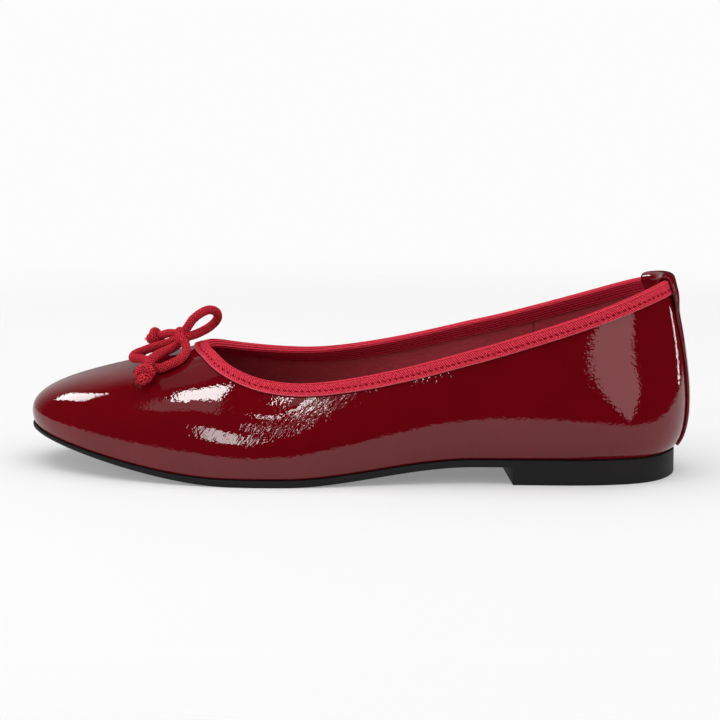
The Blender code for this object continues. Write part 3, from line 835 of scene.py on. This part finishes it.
def add_bow(cord, yarn):
    """Two loops and two knotted tails, frayed at their ends, and the cord that grips them."""
    near_brush = add_piece(
        "near_tail_brush",
        frayed_end((-0.1650, -0.0243, 0.0369), (-0.20, -0.45, -0.9), 0.0015, 90, 4),
        [yarn],
        (),
    )
    far_brush = add_piece(
        "far_tail_brush",
        frayed_end((-0.1662, 0.0098, 0.0457), (-0.75, 0.0, -0.65), 0.0014, 60, 9),
        [yarn],
        (),
    )
    # the cord wraps about once and a third round what passes through the bow's middle
    along = np.array((0.93, 0.16, 0.33))
    along /= np.linalg.norm(along)
    beside = np.cross(along, (0.0, 0.0, 1.0))
    beside /= np.linalg.norm(beside)
    above = np.cross(beside, along)
    wrap = []
    wrap_radius, wrap_width = 0.0020, 0.0026
    for share in np.linspace(0.0, 1.0, 30):
        angle = (-0.62 + 2.6 * share) * math.pi
        out = wrap_radius * min(1.0, 0.45 + 3.0 * share, 0.45 + 3.0 * (1.0 - share))
        centre = np.array(BOW_MIDDLE) + along * wrap_width * (share - 0.5)
        wrap.append(centre + out * (math.cos(angle) * beside * 1.15 + math.sin(angle) * above))
    wrap_tube = cord_tube(smooth_route(wrap, ROUTE_STEP), THIN_CORD_RADIUS)
    wrap_piece = add_piece("bow_wrap", wrap_tube, [cord], ["bow_knot"])
    add_cord("near_loop_cord", NEAR_LOOP, cord, ["near_loop"], CORD_RADIUS)
    add_cord("far_loop_cord", FAR_LOOP, cord, ["far_loop"], CORD_RADIUS)
    near = list(NEAR_TAIL) + knot_route(NEAR_KNOT, NEAR_TAIL[-1], 0.0031)
    stands_for = ["near_tail", "near_tail_knot"]
    add_cord("near_tail_cord", near, cord, stands_for, CORD_RADIUS)
    far = list(FAR_TAIL) + knot_route(FAR_KNOT, FAR_TAIL[-1], 0.0029)
    stands_for = ["far_tail", "far_tail_knot"]
    add_cord("far_tail_cord", far, cord, stands_for, THIN_CORD_RADIUS)


# The upper and what is sewn to it
def add_upper(patent, lining):
    """The upper's outer face, dented by the ripples and thickened inwards. Its inner face has the
    lining's finish."""
    columns, rows = 420, 84
    places = np.linspace(0.0, 1.0, columns + 1)
    ups = np.linspace(0.0, 1.0, rows + 1)
    points = upper_face(places[None, :], ups[:, None])
    facing = upper_normal(places[None, :], ups[:, None])
    dent = np.zeros(points.shape[:2])
    for ripple in RIPPLES:
        ahead, above = points[..., 0] - ripple.x, points[..., 2] - ripple.z
        lean = math.radians(ripple.lean)
        along = ahead * math.cos(lean) + above * math.sin(lean)
        across = above * math.cos(lean) - ahead * math.sin(lean)
        dent += ripple.depth * np.exp(
            -((along / ripple.half_length) ** 2) - (across / ripple.half_width) ** 2
        )
    # the ripples fade out towards the middle of the vamp
    on_a_side = smooth_step((np.abs(points[..., 1]) - 0.008) / 0.012)
    points = points - facing * (dent * on_a_side)[..., None]
    bm = moved_grid(points)
    piece = add_piece("patent_upper", bm, [patent, lining], ["upper"])
    wall = piece.modifiers.new("wall", "SOLIDIFY")
    wall.thickness = WALL
    wall.offset = -1.0
    wall.use_even_offset = True
    wall.material_offset = 1


def add_binding(tape, thread):
    """The tape folded over the rim, closed round its section, with a groove for its stitches."""
    columns = 900
    places = np.linspace(0.0, 1.0, columns + 1)
    rim = upper_face(places, np.ones_like(places))
    along = np.concatenate([[0.0], np.cumsum(np.linalg.norm(np.diff(rim, axis=0), axis=1))])
    outer = FIT + TAPE_THICKNESS
    # the section starts at the woven edge and runs over the rim to the edge inside
    section = [
        (TAPE_LEG, FIT), (TAPE_LEG + 0.0001, FIT + 0.0003), (TAPE_LEG - 0.0001, outer - 0.0001),
    ]
    groove_depth, groove_width = 0.00028, 0.00045
    for depth in np.linspace(TAPE_LEG - 0.0004, 0.0004, 12):
        groove = groove_depth * math.exp(-(((depth - STITCH_DEPTH) / groove_width) ** 2))
        section.append((depth, outer - groove))
    rise = TAPE_ROLL - FIT
    half = WALL / 2.0 + outer
    for turn in np.linspace(0.0, math.pi, 11):
        section.append((-rise * math.sin(turn), -WALL / 2.0 + half * math.cos(turn)))
    for depth in np.linspace(0.0010, TAPE_LEG, 5):
        section.append((depth, -WALL - outer))
    # and back along the faces of the upper
    section += [
        (TAPE_LEG, -WALL - FIT), (0.0, -WALL - FIT), (-0.0002, -WALL / 2.0), (0.0, FIT),
        (TAPE_LEG, FIT),
    ]
    points = wall_section(places, section)
    points[:, -1] = points[:, 0]
    flat = np.array(section)
    across = np.concatenate([[0.0], np.cumsum(np.linalg.norm(np.diff(flat, axis=0), axis=1))])
    bm = moved_grid(points, along, across)
    bmesh.ops.recalc_face_normals(bm, faces=bm.faces)
    add_piece("binding_tape", bm, [tape], ["topline_binding"], 50.0)

    sunk = 0.00010
    add_stitches("binding_stitches_outside", thread, places, along, outer - sunk, 1.0)
    add_stitches("binding_stitches_inside", thread, places, along, -WALL - outer + sunk, -1.0)


def add_stitches(name, thread, places, along, off, facing):
    """Short slanted stitches along the middle of a leg of the binding, pulled down into it."""
    count = round(along[-1] / STITCH_SPACING)
    stops = np.interp((np.arange(count) + 0.5) * along[-1] / count, along, places)
    seat = wall_section(stops, [(STITCH_DEPTH, off), (STITCH_DEPTH - 0.001, off)])
    ahead = wall_section(stops + NUDGE, [(STITCH_DEPTH, off)])[0] - seat[0]
    slant, half_sizes = 0.42, (0.00078, 0.00030, 0.00020)
    bm = bmesh.new()
    for here, higher, way in zip(seat[0], seat[1], ahead):
        way = Vector(way).normalized()
        up = (Vector(higher) - Vector(here)).normalized()
        lean = (way * math.cos(slant) - up * math.sin(slant) * facing).normalized()
        off_way = (way.cross(up) * facing).normalized()
        side = off_way.cross(lean).normalized()
        turned = Matrix((lean, side, lean.cross(side))).transposed().to_4x4()
        turned.translation = Vector(here)
        made = bmesh.ops.create_uvsphere(bm, u_segments=6, v_segments=4, radius=1.0)
        bmesh.ops.scale(bm, vec=half_sizes, verts=made["verts"])
        bmesh.ops.transform(bm, matrix=turned, verts=made["verts"])
    add_piece(name, bm, [thread], ())


def add_strap(patent):
    """A strip sewn up the back, over the binding and down inside, where it widens."""
    ups = np.linspace(0.0, 1.0, WALL_STEPS)
    seam = np.linalg.norm(
        np.diff(upper_face(np.full_like(ups, BACK_PLACE), ups), axis=0), axis=1
    ).sum()
    over_tape = FIT + TAPE_THICKNESS + FIT
    # it starts this far over the sole
    step = 2.0 * STRAP_THICKNESS
    line = []
    # rows of the depth under the rim, the distance off the upper and the share of the flare
    off_face = 0.00004
    for depth in np.linspace(seam - step, TAPE_LEG, 60):
        lifted = float(smooth_step((STRAP_DOWN - depth) / (STRAP_DOWN - TAPE_LEG)))
        line.append((depth, off_face + over_tape * lifted, 0.0))
    line += [(TAPE_LEG - FIT, over_tape, 0.02), (0.0022, over_tape, 0.05)]
    rise = TAPE_ROLL - TAPE_THICKNESS + over_tape - FIT
    half = WALL / 2.0 + over_tape
    for i, turn in enumerate(np.linspace(0.0, math.pi, 13)):
        flare = float(smooth_step((i + 2) / 9.0))
        line.append((-rise * math.sin(turn), -WALL / 2.0 + half * math.cos(turn), flare))
    line += [(depth, -(WALL + over_tape), 1.0) for depth in np.linspace(0.0012, STRAP_INSIDE, 8)]
    columns = 18
    made = []
    for depth, off, flare in line:
        up = float(np.interp(seam - max(depth, 0.0), np.linspace(0, seam, WALL_STEPS), ups))
        beside = upper_face(BACK_PLACE + NUDGE, up) - upper_face(BACK_PLACE - NUDGE, up)
        metres_round = np.linalg.norm(beside) / (2.0 * NUDGE)
        width = STRAP_WIDTH + flare * STRAP_FLARE
        aside = np.linspace(0.0, 1.0, columns + 1) * width - STRAP_WIDTH / 2.0
        made.append(wall_section(BACK_PLACE + aside / metres_round, [(depth, off)])[0])
    strip = moved_grid(np.array(made))
    piece = add_piece("patent_strap", strip, [patent], ["back_strap"])
    leather = piece.modifiers.new("leather", "SOLIDIFY")
    leather.thickness = STRAP_THICKNESS
    leather.offset = 1.0
    leather.use_even_offset = True
    edge = piece.modifiers.new("edge", "BEVEL")
    edge.width = 0.0003
    edge.segments = 2
    edge.limit_method = "ANGLE"
    edge.angle_limit = math.radians(60.0)


# The sole, the heel and the insole
def plate(margin, low, high, segments, slices, strips=0):
    """A solid with the sole line's outline, moved out by a margin, between two height functions.
    It is cut across into slices, and along into strips, so that its faces follow them."""
    bm = bmesh.new()
    bmesh.ops.create_circle(bm, cap_ends=True, segments=segments, radius=1.0)
    places = np.arange(segments) / segments
    for vertex, point in zip(list(bm.verts), sole_line(places, margin)):
        vertex.co = Vector((*point, 0.0))
    start = min(vertex.co.x for vertex in bm.verts)
    end = max(vertex.co.x for vertex in bm.verts)
    cuts = [((start + (end - start) * i / slices, 0, 0), (1, 0, 0)) for i in range(1, slices)]
    cuts += [((0, y, 0), (0, 1, 0)) for y in np.linspace(-0.04, 0.04, strips)] if strips else []
    for place, facing in cuts:
        geometry = bm.verts[:] + bm.edges[:] + bm.faces[:]
        bmesh.ops.bisect_plane(bm, geom=geometry, dist=SAME_PLACE, plane_co=place, plane_no=facing)
    bmesh.ops.recalc_face_normals(bm, faces=bm.faces)
    lower = list(bm.verts)
    raised = bmesh.ops.extrude_face_region(bm, geom=bm.faces[:])
    upper = [item for item in raised["geom"] if isinstance(item, bmesh.types.BMVert)]
    for vertex in lower:
        vertex.co.z = float(low(vertex.co.x))
    for vertex in upper:
        vertex.co.z = float(high(vertex.co.x))
    bmesh.ops.recalc_face_normals(bm, faces=bm.faces)
    return bm


def round_edges(bm, offset, segments):
    """Rounds the edges that turn by more than 50 degrees."""
    edges = [
        edge
        for edge in bm.edges
        if len(edge.link_faces) == 2 and edge.calc_face_angle() > math.radians(50.0)
    ]
    bmesh.ops.bevel(
        bm, geom=edges, offset=offset, segments=segments, profile=0.5, affect="EDGES", material=-1
    )


def add_sole(rubber):
    """One plate of rubber, with the toe spring and the arch in it."""
    bm = plate(SOLE_MARGIN, sole_bottom, sole_top, segments=280, slices=70)
    round_edges(bm, offset=0.0003, segments=2)
    add_piece("rubber_outsole", bm, [rubber], ["outsole"], 40.0)


def add_heel(rubber):
    """A flat block under the seat, cut off at its breast. It reaches up into the sole and is a
    hair wider than it."""
    hair, below_seat = 0.00004, 0.0005
    top = HEEL_HEIGHT - below_seat
    bm = plate(SOLE_MARGIN + hair, lambda x: 0.0, lambda x: top, segments=280, slices=1)
    breast = ((BREAST_SHARE - HEEL_CENTRE_SHARE) * LENGTH, 0, 0)
    facing = (math.cos(BREAST_TURN), math.sin(BREAST_TURN), 0)
    geometry = bm.verts[:] + bm.edges[:] + bm.faces[:]
    bmesh.ops.bisect_plane(bm, geom=geometry, plane_co=breast, plane_no=facing, clear_inner=True)
    bmesh.ops.holes_fill(bm, edges=[edge for edge in bm.edges if edge.is_boundary], sides=0)
    bmesh.ops.recalc_face_normals(bm, faces=bm.faces)
    round_edges(bm, offset=0.0004, segments=3)
    add_piece("heel_block", bm, [rubber], ["heel"], 40.0)


def add_insole(sock):
    """A thin plate on the sole, inside the upper."""

    def low(x):
        return sole_top(x) + FIT

    def high(x):
        return low(x) + INSOLE_THICKNESS

    bm = plate(-(WALL + 3.0 * FIT), low, high, segments=240, slices=60, strips=15)
    round_edges(bm, offset=0.0005, segments=2)
    add_piece("sock", bm, [sock], ["insole"], 40.0)


# Studio
def direction(around, lift):
    """Unit vector that many degrees round from the camera's side, towards the heel, and up."""
    around, lift = math.radians(around), math.radians(lift)
    return Vector(
        (math.sin(around) * math.cos(lift), -math.cos(around) * math.cos(lift), math.sin(lift))
    )


def add_light(name, middle, aim, long_way, size, radiance, lights, tint="#ffffff"):
    """A flat light of that size in metres and that brightness, facing a point. It lights either
    mirror reflections or everything else."""
    data = bpy.data.lights.new(name, "AREA")
    data.shape = "RECTANGLE"
    data.size, data.size_y = size
    data.color = colour(tint)[:3]
    data.energy = radiance * math.pi * size[0] * size[1]
    made = bpy.data.objects.new(name, data)
    back = (Vector(middle) - Vector(aim)).normalized()
    right = (Vector(long_way) - back * Vector(long_way).dot(back)).normalized()
    turned = Matrix((right, back.cross(right), back)).transposed().to_4x4()
    turned.translation = Vector(middle)
    made.matrix_world = turned
    made.visible_camera = False
    made.visible_diffuse = lights == "all"
    made.visible_glossy = lights == "mirrors"
    bpy.context.scene.collection.objects.link(made)


def add_softbox(name, aim, start, end, distance, width, radiance, tint="#ffffff"):
    """A softbox seen from a point of the shoe between two directions, each given round and up, in
    degrees."""
    aim = Vector(aim)
    start, end = direction(*start) * distance, direction(*end) * distance
    size = ((end - start).length, width)
    add_light(name, aim + (start + end) / 2.0, aim, end - start, size, radiance, "mirrors", tint)


def add_floor():
    """A matt white table top that fades into the white behind it. It glows a little of itself:
    painted light that lifts the shadows on it.
    """
    bm = bmesh.new()
    bmesh.ops.create_grid(bm, x_segments=40, y_segments=40, size=0.6)
    mesh = bpy.data.meshes.new("floor")
    bm.to_mesh(mesh)
    bm.free()
    # the emission is painted light that lifts the shadows on the table
    made, tree, shader = new_finish(
        "white_table",
        "#c9c9c9",
        0.9,
        Specular_IOR_Level=0.0,
        Emission_Color=colour("#ffffff"),
        Emission_Strength=0.235,
    )
    place = add_node(tree, "TexCoord").outputs["Object"]
    # it is gone at an ellipse of these half sizes round a point behind the shoe's middle
    half_length, half_depth = 0.5, 0.43
    moved = (0.085 / half_length, -0.05 / half_depth, 0.0)
    shrunk = (1 / half_length, 1 / half_depth, 0.0)
    centred = add_node(tree, "Mapping", {"Vector": place, "Location": moved, "Scale": shrunk})
    far = add_node(tree, "VectorMath", {0: centred.outputs["Vector"]}, operation="LENGTH")
    fade = add_node(
        tree,
        "MapRange",
        {
            "Value": far.outputs["Value"],
            "From Min": 0.72,
            "From Max": 1.0,
            "To Min": 1.0,
            "To Max": 0.0,
        },
        interpolation_type="SMOOTHSTEP",
    )
    tree.links.new(fade.outputs[0], shader.inputs["Alpha"])
    mesh.materials.append(made)
    floor = bpy.data.objects.new("floor", mesh)
    bpy.context.scene.collection.objects.link(floor)


def add_studio():
    """A white room, with softboxes that only mirrors see and wide soft lights for the rest."""
    world = bpy.data.worlds.new("studio")
    bpy.context.scene.world = world
    world.use_nodes = True
    tree = world.node_tree
    seen = tree.nodes["Background"]
    seen.inputs["Color"].default_value = colour("#fcfcfc")
    # mirrors see a dark room whose white wall behind the shoe fades upwards
    toward = add_node(
        tree, "SeparateXYZ", {"Vector": add_node(tree, "TexCoord").outputs["Generated"]}
    )
    wall = add_node(
        tree,
        "MapRange",
        {
            "Value": toward.outputs["Y"],
            "From Min": 0.25,
            "From Max": 0.97,
            "To Min": 0.01,
            "To Max": 0.66,
        },
        interpolation_type="SMOOTHERSTEP",
    )
    toe_side = add_node(
        tree,
        "MapRange",
        {
            "Value": toward.outputs["X"],
            "From Min": -0.08,
            "From Max": -0.34,
            "To Min": 0.02,
            "To Max": 1.0,
        },
        interpolation_type="SMOOTHSTEP",
    )
    lit = add_node(tree, "Math", {0: wall.outputs[0], 1: toe_side.outputs[0]}, operation="MULTIPLY")
    lit = add_node(tree, "Math", {0: lit.outputs[0], 1: 0.01}, operation="ADD")
    dark_room = add_node(
        tree, "Background", {"Color": (1.0, 1.0, 1.0, 1.0), "Strength": lit.outputs[0]}
    )
    soft_room = add_node(tree, "Background", {"Color": (1.0, 1.0, 1.0, 1.0), "Strength": 0.57})
    ray = add_node(tree, "LightPath")
    room = add_node(
        tree,
        "MixShader",
        {0: ray.outputs["Is Diffuse Ray"], 1: dark_room.outputs[0], 2: soft_room.outputs[0]},
    )
    mixed = add_node(
        tree, "MixShader", {0: ray.outputs["Is Camera Ray"], 1: room.outputs[0], 2: seen.outputs[0]}
    )
    tree.links.new(mixed.outputs[0], tree.nodes["World Output"].inputs["Surface"])
    shoe, along, across = (-0.1, 0.0, 0.0), (1, 0, 0), (0, 1, 0)
    add_light("ceiling", (-0.1, -0.1, 1.6), shoe, along, (2.2, 2.2), 1.45, "all")
    toe, throat, ball = (-0.19, -0.02, 0.03), (-0.14, -0.025, 0.035), (-0.12, -0.04, 0.02)
    flex, waist = (-0.1117, -0.0354, 0.0236), (-0.098, -0.0305, 0.0304)
    heel, back = (0.0, -0.03, 0.035), (0.03, -0.01, 0.035)
    add_softbox("toe_softbox", toe, (-124.6, 35), (-102.4, 51), 1.3, 0.31, 14.0)
    add_softbox("throat_softbox", throat, (-70, 66.5), (-16, 75.3), 1.0, 0.23, 20.0)
    add_softbox("throat_edge", throat, (-60, 56.5), (-12, 62.5), 1.0, 0.28, 0.8)
    add_light("overhead", (-0.34, 0.30, 1.03), throat, along, (0.55, 0.5), 0.25, "mirrors")
    add_softbox("ball_strip", ball, (-15, 17), (-14, 34), 1.5, 0.26, 10.0)
    add_softbox("waist_strip", waist, (-22, 59), (-10, 61), 0.15, 0.008, 16.0)
    add_softbox("flex_strip", flex, (-5, 36), (-6, 50), 0.2, 0.011, 10.0)
    add_softbox("heel_softbox", heel, (51.5, 4.5), (18.5, 31.5), 1.4, 0.47, 2.7, "#ffd0d2")
    add_softbox("rear_strip", back, (124, -4), (124, 8), 0.6, 0.05, 7.0)
    add_light("left_fill", (-1.3, -0.3, 0.3), shoe, across, (1.2, 0.6), 3.6, "all")
    add_light("right_fill", (1.2, -0.3, 0.3), shoe, across, (1.2, 0.6), 2.2, "all")
    bpy.context.scene.view_settings.view_transform = "Standard"
    bpy.context.scene.view_settings.look = "None"


def main():
    """The camera and the cords come first."""
    add_camera()
    cord = braided_cord("braided_cotton_cord")
    # matt loose ends of the braid's yarns, a little paler than it
    yarn = new_finish("loose_cotton_yarn", "#c83440", 0.9, Specular_IOR_Level=0.0)[0]
    add_bow(cord, yarn)
    patent = crinkled_patent("crinkled_patent_leather")
    lining = grained_lining("pigskin_lining", "#982630", "#cc4c58", LINING_SEAM)
    add_upper(patent, lining)
    tape = ribbed_tape("ribbed_cotton_tape")
    # spun sewing thread, matt and darker than the tape, so that it reads as a dotted line
    thread = new_finish("polyester_thread", "#7a0a18", 0.7, Specular_IOR_Level=0.0)[0]
    add_binding(tape, thread)
    add_strap(patent)
    rubber = moulded_rubber("satin_black_rubber", "#191919", 0.5)
    add_sole(rubber)
    add_heel(rubber)
    add_insole(grained_lining("burgundy_sock_leather", "#7c2129", "#8d2a32"))
    add_floor()
    add_studio()


main()
